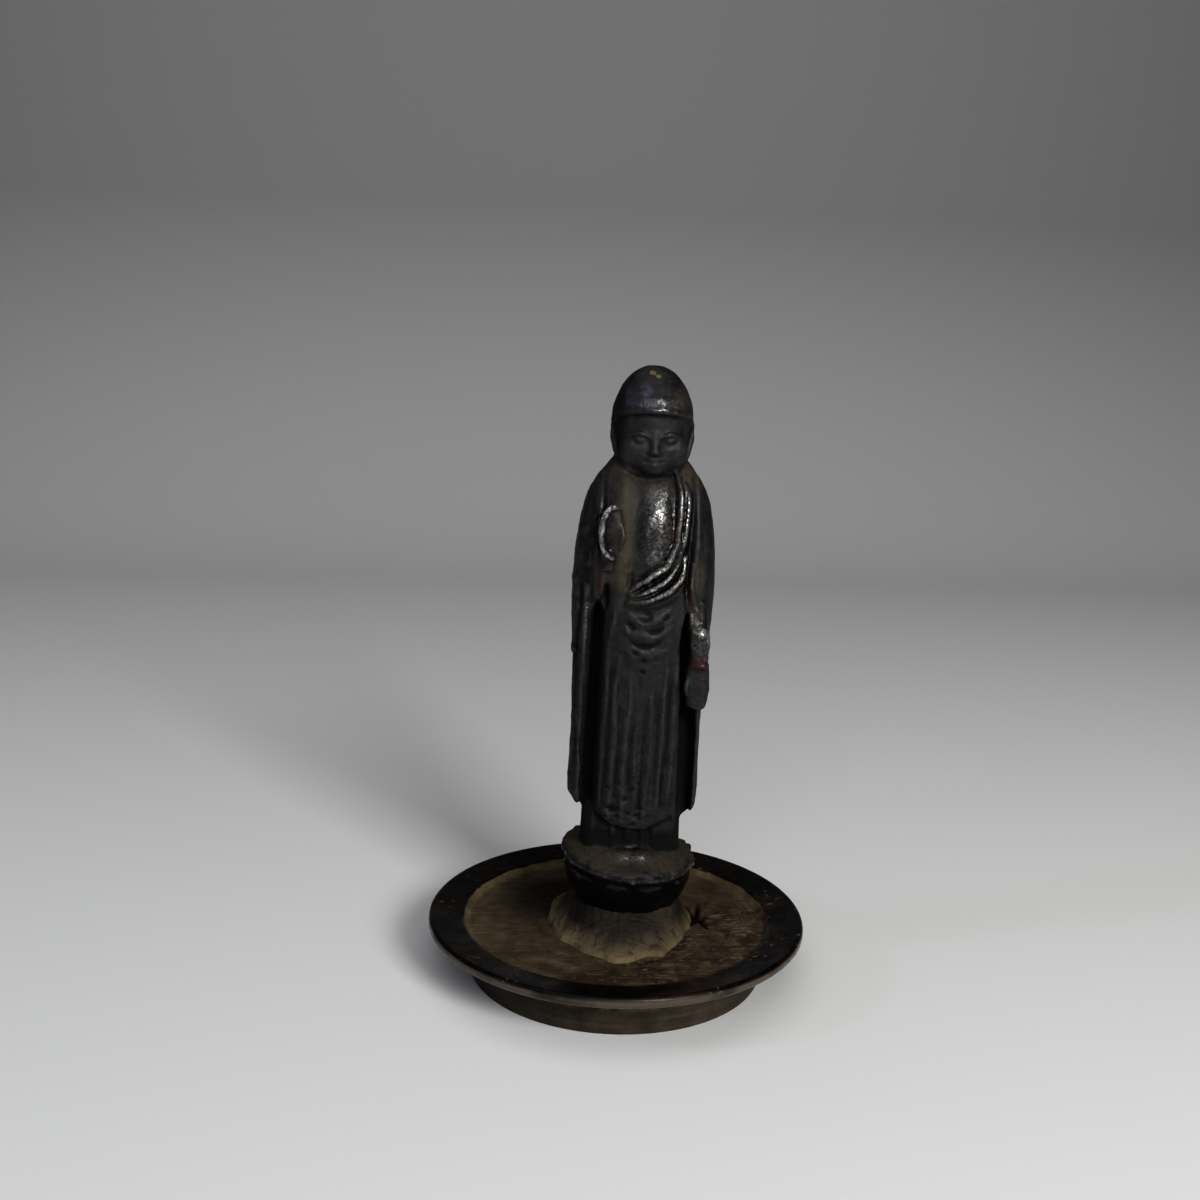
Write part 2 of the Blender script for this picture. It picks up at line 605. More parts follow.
add_mark(mound, "sooty", sooty.ravel())
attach(mound, "root")
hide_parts("setting_mound")

# The bronze figure with its lotus seat
# One solid casting in dark bronze, from the seat's neck to the crown. Its wax model was built up from
# rolls and pellets, so the form is worked out the same way: soft volumes on a fine grid, joined and
# carved, then skinned. Heights are above the stand's foot, x and y are from the figure's own axis.

CELL = 0.2
GRID_LOW = (-13.6, -13.6, 10.2)
GRID_HIGH = (13.6, 13.2, 109.4)
axes = [np.arange(low, high, CELL, dtype=np.float32) for low, high in zip(GRID_LOW, GRID_HIGH)]
bronze = np.full([len(axis) for axis in axes], 4, np.float32)


def by_height(points, z, soften=1.6):
    """A rounded value at each height, from a few heights and their values"""
    heights, values = np.transpose(points)
    shifts = np.linspace(-soften, soften, 9)
    return sum(np.interp(z + shift, heights, values) for shift in shifts) / len(shifts)


def soft_min(one, other, blend):
    share = limit(0.5 + 0.5 * (other - one) / blend)
    return other + (one - other) * share - blend * share * (1 - share)


def zone(low, high):
    """The part of the grid between two corners: its slices, and its x, y and z"""
    cut = tuple(slice(*np.searchsorted(axis, ends)) for axis, ends in zip(axes, zip(low, high)))
    return cut, np.ix_(*(axis[part] for axis, part in zip(axes, cut)))


def pared(form, *cuts):
    """A form cut back by others in turn, each with a soft edge as wide as its blend"""
    for other, blend in cuts:
        form = -soft_min(-form, other, blend)
    return form


def join(cut, form, blend=0.3, carve=False):
    """Adds a form to the bronze, or takes it out, with a soft edge as wide as the blend"""
    bronze[cut] = pared(bronze[cut], (form, blend)) if carve else soft_min(bronze[cut], form, blend)


def upright(x, y, z, widths, fronts, backs, squareness=2.3, soften=1.6):
    """Distance from an upright oval form whose half width and depths change with the height"""
    wide = by_height(widths, z, soften)
    deep = np.where(y < 0, by_height(fronts, z, soften), by_height(backs, z, soften))
    across = np.abs(x) / wide + 1e-4
    along = np.abs(y) / deep + 1e-4
    reach = (across**squareness + along**squareness) ** (1 / squareness)
    steep = np.hypot(across ** (squareness - 1) / wide, along ** (squareness - 1) / deep)
    return (reach - 1) * reach ** (squareness - 1) / steep


def trace(path, spacing=0.25):
    """Evenly spaced points on a softly rounded line through a few given points"""
    path = np.array(path, float)
    far = np.append(0, np.cumsum(np.linalg.norm(np.diff(path, axis=0), axis=1)))
    at = np.linspace(0, far[-1], int(far[-1] / spacing) + 8)
    rounding = 0.35 * far[-1] / len(path)
    return np.stack([by_height(np.stack([far, part], 1), at, rounding) for part in path.T], 1)


def rope(path, radius, blend=0.3, carve=False, slim=0.5):
    """A rolled strip along a path of points, thickest in the middle"""
    line = trace(path)
    middle = np.sin(np.linspace(0, math.pi, len(line)))
    sizes = radius * (1 - slim + slim * middle)
    cut, (x, y, z) = zone(line.min(0) - radius - 1.5, line.max(0) + radius + 1.5)
    form = np.full(bronze[cut].shape, 9, np.float32)
    for (px, py, pz), size in zip(line, sizes):
        form = np.minimum(form, np.sqrt((x - px) ** 2 + (y - py) ** 2 + (z - pz) ** 2) - size)
    join(cut, form, blend, carve)


def pellet(middle, halves, blend=0.4, carve=False):
    """An oval lump"""
    middle, halves = np.array(middle, float), np.array(halves, float)
    cut, (x, y, z) = zone(middle - halves - 1.5, middle + halves + 1.5)
    parts = [(place - at) / half for place, at, half in zip((x, y, z), middle, halves)]
    out = np.sqrt(sum(part**2 for part in parts)) + 1e-4
    steep = np.sqrt(sum((part / half) ** 2 for part, half in zip(parts, halves))) + 1e-4
    join(cut, out * (out - 1) / steep, blend, carve)


def both_sides(*half):
    """A path from right to left, given from the middle to the left"""
    return [(-x, y, z) for x, y, z in half[::-1] if x] + list(half)


# The robe is one broad oval form. Its folds are pressed on relief maps of the front and the back.
ROBE_TOP = 94.5
ROBE_WIDTH = [(26, 11), (34, 11.7), (45, 11.4), (56, 11.6), (67, 12.4), (72, 12.45), (78, 12.1),
              (83, 11.4), (86.5, 10.6), (88.5, 9.7), (90.5, 8.4), (92, 6.9), (94.5, 5.4)]
ROBE_FRONT = [(26, 6.7), (40, 6.8), (55, 7.3), (65, 7.7), (72, 7.5), (76, 7.7), (80, 7.4), (84, 6.85),
              (87, 6.15), (88.5, 5.6), (90.5, 4.6), (92, 4), (94.5, 3.6)]
ROBE_BACK = [(26, 6.7), (45, 6.8), (60, 7), (74, 7.4), (83, 7.3), (88, 6.4), (91, 5.2), (94.5, 4.2)]
relief_shape = (len(axes[0]), len(axes[2]))
front_relief = np.zeros(relief_shape, np.float32)
back_relief = np.zeros(relief_shape, np.float32)


def press(relief, path, width, height, softness=0.8, slim=0.5):
    """Raises a fold on a relief map along a path of x and z, or cuts a crease if the height is negative"""
    line = trace(path)
    low, high = line.min(0) - width, line.max(0) + width
    across = slice(*np.searchsorted(axes[0], (low[0], high[0])))
    up = slice(*np.searchsorted(axes[2], (low[1], high[1])))
    away = np.hypot(axes[0][across, None, None] - line[:, 0], axes[2][None, up, None] - line[:, 1])
    size = 1 - slim + slim * np.sin(math.pi * away.argmin(2) / (len(line) - 1))
    dome = limit(1 - (away.min(2) / (width * size)) ** 2) ** softness * size * height
    part = relief[across, up]
    relief[across, up] = np.maximum(part, dome) if height > 0 else part + dome


def swell(relief, x, z, half_width, half_height, height):
    """A broad soft rise, or a hollow, on a relief map"""
    away = ((axes[0][:, None] - x) / half_width) ** 2 + ((axes[2][None] - z) / half_height) ** 2
    relief += height * limit(1 - away) ** 1.5


# Edges of the robe across the chest, then the sash folds that sweep down to the right hip, and the creases
# between them
ROBE_EDGES = [
    (2, 0.55, 1.6, [(-4.6, 92), (-5, 86), (-4.8, 78), (-4.2, 70.8)]),
    (0.7, 0.55, 1.1, [(-3.9, 78), (-4, 73), (-4.2, 70.2)]),
    (0.75, 1.15, 0.6, [(4, 91.2), (5.1, 87.5), (4.95, 83), (4.55, 79.2)]),
    (0.75, 1, 0.6, [(5.7, 89.4), (6.4, 86), (6.1, 82), (5.8, 79), (5.1, 78.1)]),
    (0.72, 1.2, 0.6, [(5.1, 80.2), (4.5, 78.7), (3.7, 76.7), (2.9, 75), (1.7, 74.4), (0.2, 73.2),
                      (-1.7, 72), (-3.3, 70.6)]),
    (0.72, 1.1, 0.6, [(5.5, 78.4), (4.6, 75.3), (3.3, 73.1), (1.9, 71.8), (0.2, 70.9), (-1.4, 70.1),
                      (-3, 69.9)]),
    (0.85, 1.3, 0.6, [(6.4, 77), (6, 74.2), (5, 72.3), (3.3, 70.6), (1.4, 69.9), (-0.8, 69), (-3.4, 68.9)]),
    (0.6, 0.5, 0.9, [(6.4, 72.4), (5.2, 70.7), (3, 69.1), (0.5, 68.3), (-3.6, 68.2)]),
    (0.6, 0.7, 0.8, [(1.4, 73.3), (0, 72.5), (-1.6, 71.5), (-3.6, 70.3)]),
]
for width, height, softness, path in ROBE_EDGES:
    press(front_relief, path, width, height, softness, slim=0.35)
for path in [
    [(5.3, 77), (4.4, 75.4), (3.3, 74), (2.2, 73), (0.6, 71.9), (-2.6, 70.4)],
    [(5.9, 76), (5.1, 73.6), (3.9, 72.2), (2, 70.9), (0.2, 70), (-3, 69.3)],
    [(0.9, 73.4), (0.6, 72.6), (0.9, 71.8)],
    [(-0.6, 71.8), (-1.2, 71.1)],
    [(2.2, 71.9), (1.9, 71)],
    [(5.6, 88), (5.75, 84), (5.3, 79.6)],
    [(-2.9, 74), (-3.1, 72.4), (-3.3, 71)],
]:
    press(front_relief, path, 0.42, -0.55, 0.9)

# Small worn folds below the sash, and the incised lines between them and further down
BELLY_FOLDS = [
    ([(-3.8, 67.4), (-1.4, 65.7), (1.6, 65.6), (4.6, 67.6)], 1.1, 0.3),
    ([(-4.4, 64.4), (-1.6, 62.9), (1.6, 62.9), (5, 64.8)], 1.3, 0.32),
    ([(-4, 60.9), (-1.2, 59.6), (1.6, 59.7), (4.6, 61)], 1.1, 0.22),
    ([(-5.7, 68.4), (-5.5, 65.6), (-5.9, 62.6), (-6.6, 61.8)], 0.65, 0.4),
    ([(-7.1, 68), (-7.4, 65.6), (-7.2, 63), (-6.6, 61.9)], 0.6, 0.4),
]
for path, width, height in BELLY_FOLDS:
    press(front_relief, path, width, height, 1.3, slim=0.8)
INCISED = [
    [(-2.9, 62.7), (-2, 61.7), (-0.9, 61.2), (0.6, 61.2), (2, 61.7), (3.2, 62.7)],
    [(-1.6, 66.6), (-0.9, 65.9), (-0.1, 65.8), (0.7, 66.3), (1, 67)],
    [(-0.5, 67.3), (0.2, 66.9), (0.9, 67.3)],
    [(-0.2, 64.3), (0.9, 63.8), (2.2, 64), (3.4, 65)],
    [(2.7, 66.2), (3.4, 66.2), (4.2, 67)],
    [(-3.4, 65.6), (-2.5, 64.6), (-1.5, 64.3)],
    [(-1, 59.1), (0.2, 58.7), (1.4, 58.8), (2.4, 59.2)],
    [(-0.8, 57), (0.4, 56.6), (1.7, 56.8)],
    [(-2.4, 60.6), (-1.6, 60), (-0.7, 59.9)],
    [(1.2, 38.7), (2, 38.3), (2.8, 38.4)],
    [(3, 38.9), (3.3, 38), (3.8, 37.3)],
]
for path in INCISED:
    press(front_relief, path, 0.45, -0.6, 1.2, slim=0.8)

# Shallow worn pleats of the skirt, spreading a little downwards, with fine drawn lines among them and
# short level nicks above the hem
SKIRT_PLEATS = [
    ([(-6.2, 63), (-6.3, 54), (-6.6, 43), (-6.2, 31)], 1.05, 0.5),
    ([(-4.2, 60), (-4.6, 52), (-4.5, 42), (-4.8, 29)], 1, 0.4),
    ([(-2.1, 57), (-2.1, 49), (-2.6, 40), (-2.4, 28)], 1.5, 0.45),
    ([(0, 55), (-0.4, 46), (-0.2, 38), (-0.7, 28)], 1, 0.25),
    ([(2.3, 59), (1.8, 50), (2, 41), (1.3, 29)], 1.05, 0.4),
    ([(4.3, 60), (3.9, 51), (4.1, 43), (3.6, 31)], 0.95, 0.4),
    ([(6.1, 60), (5.9, 50), (6, 41), (5.5, 31)], 1, 0.35),
]
rng = np.random.default_rng(5)
for path, width, height in SKIRT_PLEATS:
    press(front_relief, path, width, height * rng.uniform(0.9, 1.5), 1.8, slim=0.7)
for _ in range(34):
    top_x, top_z = rng.uniform(-6.6, 6.4), rng.uniform(38, 60)
    low_z = max(27, top_z - rng.uniform(5, 17))
    path = [(top_x, top_z), (top_x * 1.02 + rng.normal(0, 0.15), low_z)]
    press(front_relief, path, rng.uniform(0.3, 0.5), rng.choice([-0.26, 0.16, -0.16]), 1.3, slim=0.9)
for _ in range(26):
    x, z = rng.uniform(-5.6, 1), rng.uniform(29, 37)
    run = rng.uniform(0.4, 1.1)
    press(front_relief, [(x - run, z - rng.uniform(-0.3, 0.5)), (x + run, z)], 0.36, -0.28, 1.2, slim=0.9)

# Ridges and short streaks down the sleeves, the seam where the left sleeve leaves the chest, and small
# dents and rises on the right sleeve
SLEEVE_RIDGES = [
    ([(-9.9, 80), (-10.1, 74), (-10.3, 66), (-10.4, 50), (-10.7, 33)], 0.85, 0.75, 1),
    ([(-11.5, 77), (-11.7, 58), (-11.5, 36)], 0.9, 0.35, 1.6),
    ([(-8.9, 66), (-9.2, 52), (-9.4, 36)], 0.5, 0.2, 1.3),
    ([(7.9, 87), (8.5, 78), (8.9, 68)], 0.9, 0.25, 1.7),
    ([(9.7, 86), (10, 76), (9.9, 66)], 0.9, 0.38, 1.6),
    ([(11, 80), (11.3, 72), (11, 64)], 0.7, 0.22, 1.6),
    ([(10.9, 66), (10.9, 46), (10.7, 33)], 0.55, 0.4, 1),
]
for path, width, height, softness in SLEEVE_RIDGES:
    press(front_relief, path, width, height, softness, slim=0.9)
for _ in range(30):
    top_x, top_z = rng.uniform(-12.2, -9.4), rng.uniform(44, 76)
    path = [(top_x, top_z), (top_x + rng.normal(0, 0.2), max(33, top_z - rng.uniform(4, 14)))]
    press(front_relief, path, rng.uniform(0.3, 0.55), rng.choice([-0.4, 0.3]), 1.2, slim=0.9)
for _ in range(18):
    top_x, top_z = rng.uniform(7.6, 11.6), rng.uniform(74, 88)
    path = [(top_x, top_z), (top_x + rng.normal(0.2, 0.2), top_z - rng.uniform(4, 10))]
    press(front_relief, path, rng.uniform(0.35, 0.55), rng.choice([-0.14, 0.12]), 1.3, slim=0.9)
LEFT_SEAM = [(7.9, 91), (7.3, 86), (7, 79), (6.8, 75), (6.9, 70.5), (7.6, 67.8), (9, 65.8), (11.2, 63.6)]
press(front_relief, LEFT_SEAM[:5], 1.15, -0.85, 1.5, slim=0.7)
press(front_relief, LEFT_SEAM[2:], 0.75, -0.75, 1, slim=0.6)
press(front_relief, [(x + 0.85, z + 0.6) for x, z in LEFT_SEAM[3:]], 0.6, 0.5, 0.9, slim=0.7)

for _ in range(34):
    swell(front_relief, rng.uniform(-12.6, -9.6), rng.uniform(34, 84), rng.uniform(0.6, 1.1),
          rng.uniform(0.8, 2.2), rng.uniform(-0.3, 0.35))

# Chest, belly and left upper arm, and the dished places beside the chest
swell(front_relief, 1.2, 82, 3.8, 9, 0.6)
swell(front_relief, -2.6, 81, 2.4, 11, -0.3)
swell(front_relief, 3.7, 84, 1.6, 8, -0.35)
swell(front_relief, -0.5, 63, 6, 9, 0.35)
swell(front_relief, 8.6, 76, 2, 12, 0.25)

# The back is plain: a shawl thrown over the left shoulder, above broad falling folds
for path in [[(8, 87), (2, 83), (-4, 76), (-8.4, 66)], [(8.6, 82), (3.4, 76.5), (-2, 68), (-5.4, 58)],
             [(9, 76), (5, 70), (1, 61), (-1.5, 52)]]:
    press(back_relief, path, 1.3, 0.6, 0.9)
for i in range(7):
    x = 2.9 * (i - 3)
    path = [(x * 0.6, 77 - abs(x)), (x, 54), (x * 1.04, 30)]
    press(back_relief, path, 1.3, 0.6, 1, slim=0.6)
for i in range(6):
    x = 2.9 * (i - 2.5)
    press(back_relief, [(x * 0.7, 70 - abs(x)), (x, 50), (x * 1.04, 30)], 0.6, -0.35, 1)

# What lies deeper or higher on the front than the cloth around it, for the dirt and the rubbed edges
around = front_relief.copy()
for _ in range(14 if CELL < 0.3 else 4):
    for axis in (0, 1):
        around = 0.25 * np.roll(around, 1, axis) + 0.5 * around + 0.25 * np.roll(around, -1, axis)
stands_out = front_relief - around

robe_cut, (x, y, z) = zone((-14, -14, 26), (14, 14, 96))
robe = upright(x, y, z, ROBE_WIDTH, ROBE_FRONT, ROBE_BACK)
to_front = limit(0.5 - y / 3)
up = robe_cut[2]
robe -= to_front * front_relief[:, None, up] + (1 - to_front) * back_relief[:, None, up]

# Deep slots part the skirt from the hanging sleeves: middle and half width by height. The inner face of the
# right arm's sleeve slants towards the front, where more of it shows.
SLOT_RIGHT = ([(18, -8.3), (45, -8.1), (60, -7.9), (68, -7.7)],
              [(18, 0.75), (45, 0.7), (60, 0.4), (67, 0.1), (70, -1)])
SLOT_LEFT = ([(18, 9.05), (45, 8.7), (55, 8), (62, 7.3), (67, 7)],
             [(18, 1.2), (45, 1.35), (55, 1.1), (62, 0.8), (66, 0.2), (69, -1)])
SLOT_BACK = -0.4
for (middle, half), slant, blend in ((SLOT_RIGHT, 0.3, 1.1), (SLOT_LEFT, 0.05, 0.6)):
    off = x - by_height(middle, z)
    sides = np.abs(off) - by_height(half, z) + np.where(off < 0, slant, 0.1) * (y - SLOT_BACK)
    slot = np.maximum(sides, y - SLOT_BACK)
    robe = pared(robe, (slot, blend))

# The hem is a worn U in front, and each sleeve ends in a slanted tail
HEM_FRONT = [(-12.6, 34.4), (-11.3, 33), (-10.2, 31.2), (-7.6, 31), (-6, 30.2), (-4.5, 28.9), (-1, 28),
             (2, 27.9), (4.8, 29.3), (6.6, 30.4), (7.4, 28.6), (8.3, 27.7), (9.4, 28.6), (10.6, 29.9),
             (12, 31.6)]
HEM_BACK = [(-12, 33), (-9, 29.6), (-6, 28.6), (5, 27.8), (7.6, 27.6), (9.4, 28.6), (10.6, 30), (12, 31.6)]
hem = to_front * by_height(HEM_FRONT, x, 0.4) + (1 - to_front) * by_height(HEM_BACK, x, 2)
bronze[robe_cut] = pared(robe, (z - hem, 0.7), (ROBE_TOP - z, 0.7))

# Collar of the robe behind the neck
rope(both_sides((0, 5, 92.6), (5.2, 4, 91.9), (6, 1.4, 90.6)), 1.1, 0.6, slim=0.3)

# Ankles under the folds of the under robe, then the lotus seat, the toes of both feet on it, and the worn
# lumps of its rim. A petal is 1 across its middle and 0 at its creases.
ANKLE_TOP = 32.2
ANKLE_WIDTH = [(20, 9.4), (26, 8.9), (33, 8.8)]
cut, (x, y, z) = zone((-12, -9, 21), (12, 9, 33))
ankles = upright(x, y, z, ANKLE_WIDTH, [(20, 6), (26, 5.2)], [(20, 5.8), (26, 5.2)], 2.6)
join(cut, pared(ankles, (ANKLE_TOP - z, 0.5)), 0.5)
rng = np.random.default_rng(9)
for x in rng.uniform(-8.4, 8.4, 14):
    y = -5.3 * (1 - abs(x / 9.1) ** 2.6) ** 0.38
    rope([(x * rng.uniform(0.98, 1.06), y - 0.3, 24), (x, y, 32)], rng.uniform(0.3, 0.55), 0.8, slim=0.4)

PETAL_COUNT = 10
SEAT_FOOT = 10.6
SEAT_TOP = 24
SEAT_TILT = (-0.06, 0.06)
SEAT_RADIUS = [(10.6, 8.7), (12.8, 8.8), (14.6, 9.4), (17, 10.7), (18.7, 11.2), (19.8, 11.3), (20.5, 11.6),
               (21.1, 12), (21.7, 12.15), (22.2, 11.9), (22.6, 11.1), (22.9, 10.2), (24, 8.2)]
PETAL_SWELL = [(12.4, 0), (14.4, 0.5), (16.4, 0.6), (18.4, 0.4), (19.6, 0.1), (20.6, 0)]
PETAL_LIFT = [(17, 0), (18.9, 0.4), (20, 0.2), (21, 0)]
cut, (x, y, z) = zone((-14, -14, 10), (14, 14, 25.5))
turn = np.arctan2(x, -y)
petal = np.abs(np.sin(turn * PETAL_COUNT / 2)) ** 0.7
rib = np.exp(-((1 - np.abs(np.sin(turn * PETAL_COUNT / 2))) ** 2) / 0.0008)
seat_share = (z - SEAT_FOOT) / (SEAT_TOP - SEAT_FOOT)
level = z - seat_share * (x * SEAT_TILT[0] + y * SEAT_TILT[1])
lobed = level - petal * by_height(PETAL_LIFT, level, 0.3)
girth = by_height(SEAT_RADIUS, lobed, 0.25)
slope = (by_height(SEAT_RADIUS, lobed + 0.2, 0.25) - by_height(SEAT_RADIUS, lobed - 0.2, 0.25)) / 0.4
girth = girth + (petal + 0.12 * rib) * by_height(PETAL_SWELL, lobed, 0.25)
seat = (np.hypot(x, y) - girth) / np.hypot(1, slope)
join(cut, pared(seat, (SEAT_TOP - level, 0.8), (z - SEAT_FOOT, 0.4)), 0.5)
for side in (-1, 1):
    pellet((side * 1.75 - 0.2, -6, 23.5), (1.5, 2.5, 0.9), 1)
    for i in range(4):
        toe = Vector((side * (0.85 + 0.66 * i) - 0.2, -8.1 + 0.24 * i, 23.6))
        pellet(toe, (0.38, 0.62, 0.5), 0.22)
RIM_LUMPS = 70
RIM_RADIUS = 11.75
RIM_HEIGHT = 21.5
rng = np.random.default_rng(3)
for i in range(RIM_LUMPS):
    turn = 2 * math.pi * (i + rng.uniform(-0.3, 0.3)) / RIM_LUMPS
    x, y = RIM_RADIUS * math.sin(turn), -RIM_RADIUS * math.cos(turn)
    z = RIM_HEIGHT + 0.4 * rng.normal() + 0.75 * (x * SEAT_TILT[0] + y * SEAT_TILT[1])
    size = rng.uniform(0.35, 0.6)
    pellet((x, y, z), (size, size, size * 0.8), 0.5, carve=rng.random() < 0.3)

# The right hand is raised with its palm out, the sleeve falling open below it
HAND_X, HAND_Y = -6.6, -7.4
HAND_TOP = 85.3
PALM_WIDTH = [(76, 0.9), (77.4, 1.55), (79.6, 1.9), (82, 1.85), (84, 1.45), (85.4, 0.7)]
PALM_FRONT = [(76, 0.7), (79, 0.9), (83, 0.75), (85.4, 0.5)]
PALM_BACK = [(76, 1.4), (85, 1.2)]
rope([(-7.2, -6.2, 74.6), (-6.9, -7.2, 77.4)], 1.15, 0.8, slim=0)
cut, (x, y, z) = zone((-10, -11, 74), (-2.5, -2, 88))
palm_x = x - HAND_X - (z - 80) * 0.05
palm = upright(palm_x, y - HAND_Y, z, PALM_WIDTH, PALM_FRONT, PALM_BACK, 2.8, 0.6)
join(cut, pared(palm, (HAND_TOP - z, 0.6)), 0.3)
rope([(-5.6, -8, 84.8), (-6.6, -8.4, 85.1), (-7.7, -8.5, 84.4), (-8.3, -8.5, 82.2), (-8.4, -8.5, 79.8),
      (-8, -8.6, 78), (-7.2, -8.5, 76.8), (-6.2, -8.2, 76.3)], 0.62, 0.3, slim=0.25)
rope([(-4.9, -8, 82), (-4.75, -8.3, 79.8), (-5.1, -8.3, 77.6)], 0.55, 0.35, slim=0.6)
for i in range(2):
    rope([(-7 + 0.85 * i, -8.6, 84.9), (-6.9 + 0.8 * i, -8.6, 82.2)], 0.24, 0.15, carve=True, slim=0.6)
pellet((-6.55, -8.9, 79.9), (0.85, 0.55, 1.9), 0.5, carve=True)
pellet((-7, -5.6, 72.4), (2.2, 1.4, 4), 2)
pellet((-7.1, -7.1, 69.4), (0.6, 1.7, 2.6), 0.7, carve=True)
rope([(-9.2, -5.8, 77), (-8.8, -6.4, 73), (-8.4, -6.6, 69)], 0.4, 0.9, slim=0.8)
rope([(-7.6, -7, 75.6), (-7.9, -7.2, 72.6), (-7.7, -7.2, 69.4)], 0.35, 0.7, slim=0.7)
rope([(-5.6, -6.7, 76), (-5.3, -6.9, 73), (-4.6, -7, 70)], 0.5, 1, slim=0.6)

# The left hand hangs with its palm out, below a wrist that shows under the sleeve's edge
FINGER_TIPS = 49.9
ARM_WIDTH = [(49.8, 1.3), (51.2, 1.85), (54, 2.2), (57, 2.1), (58.8, 1.65), (61, 1.7), (64, 1.8), (67, 1.6)]
ARM_FRONT = [(50, 0.7), (54, 0.95), (57, 1.1), (59, 1.5), (61, 1.8), (67, 1.6)]
ARM_BACK = [(50, 1), (57, 1.2), (61, 1.6)]
cut, (x, y, z) = zone((5, -11, 48), (13.4, 0, 69))
arm_x = x - by_height([(50, 9.75), (60, 9.6), (67, 9.2)], z)
arm_y = y + by_height([(50, 6), (60, 5.4), (67, 4.4)], z)
arm = upright(arm_x, arm_y, z, ARM_WIDTH, ARM_FRONT, ARM_BACK, 2.6, 0.6)
join(cut, pared(arm, (z - FINGER_TIPS - 0.25 * np.abs(x - 9.9), 0.6)), 0.35)
for height in (58, 59.3):
    rope([(7.9, -5.5, height), (8.8, -6.7, height - 0.15), (10.6, -6.8, height - 0.15),
          (11.5, -5.6, height)], 0.42, 0.35)
pellet((9.8, -6.2, 62), (1.6, 1.3, 2.8), 0.9)
for i in range(3):
    rope([(8.7 + 0.8 * i, -6.9, 50.4), (8.8 + 0.7 * i, -7, 53.4)], 0.18, 0.2, carve=True, slim=0.5)
rope([(7.9, -6.5, 55.6), (7.6, -6.7, 54), (7.9, -6.7, 52.4)], 0.5, 0.4)
pellet((9.8, -7.5, 55.2), (1.2, 0.5, 1.5), 0.5, carve=True)

# Head: a plain oval of a face under a smooth cap of hair with a low raised crown
CHIN = 90.3
HAIRLINE = 100.4
THIRD = (HAIRLINE - CHIN) / 3
SKULL_TOP = 103.6
SKULL_WIDTH = [(90, 2.4), (90.8, 3.9), (92.3, 5.15), (94.5, 6.05), (97, 6.5), (100, 6.6), (104, 6)]
SKULL_FRONT = [(90, 4.6), (91.2, 5.45), (93, 5.75), (96, 5.95), (99, 6.1), (102, 6)]
SKULL_BACK = [(90, 3.4), (92, 4.6), (95, 6), (104, 5.8)]
cut, (x, y, z) = zone((-9, -9, 89), (9, 9, 105))
skull = upright(x, y, z, SKULL_WIDTH, SKULL_FRONT, SKULL_BACK, 2.15, 0.7)
join(cut, pared(skull, (z - CHIN + 0.1, 0.9), (SKULL_TOP - z, 0.9)), 0.25)
jaw_line = both_sides((0, -5.1, 89.5), (3.8, -4.4, 90.3), (5.6, -3.2, 92.2))
rope(jaw_line, 0.45, 0.3, carve=True, slim=0.2)

CAP_FOOT = 92.8
CROWN = 108.5
CAP_WIDTH = [(92.6, 5.9), (94, 6.6), (96, 6.9), (99, 7.05), (101.4, 6.9), (103.3, 6.25), (105.2, 5.4),
             (107, 4), (108, 2.6), (108.7, 1)]
CAP_FRONT = [(93, 0.8), (99.7, 2.8), (100.3, 6.4), (101.3, 6.7), (102.9, 6.25), (104.2, 5.45), (106, 4.1),
             (108, 2.2), (108.7, 0.9)]
CAP_BACK = [(93, 5.3), (97, 6.6), (101, 6.8), (103.8, 5.8), (106, 4.4), (108, 2.3), (108.7, 0.9)]
cut, (x, y, z) = zone((-9, -9, 92), (9, 9, 109.4))
cap = upright(x, y, z, CAP_WIDTH, CAP_FRONT, CAP_BACK, 2.1, 0.45)
join(cut, pared(cap, (z - CAP_FOOT, 0.6), (CROWN - z, 0.6)), 0.25)
hair_edge = both_sides((0, -6.5, 101), (3.6, -5.75, 100.8), (5.9, -3.7, 100.4), (6.3, -2, 100.1))
rope(hair_edge, 0.6, 0.5, slim=0.25)
rope(both_sides((0, -6.75, 100.1), (3.6, -6, 99.9), (6, -3.9, 99.3)), 0.3, 0.25, carve=True, slim=0.1)
for side in (-1, 1):
    rope([(side * 6.2, -3.4, 98.9), (side * 6.15, -3.3, 96.6), (side * 5.7, -3.2, 93.8)], 0.32, 0.3,
         carve=True, slim=0.5)
    rope([(side * 6.4, -2.4, 99.4), (side * 6.75, -1.4, 98.6), (side * 6.7, -1.2, 96.4),
          (side * 6.3, -1.8, 94.4), (side * 5.9, -2.3, 93.2)], 0.55, 0.5, slim=0.3)
    pellet((side * 6.75, -2, 97.4), (0.45, 0.6, 1), 0.35, carve=True)

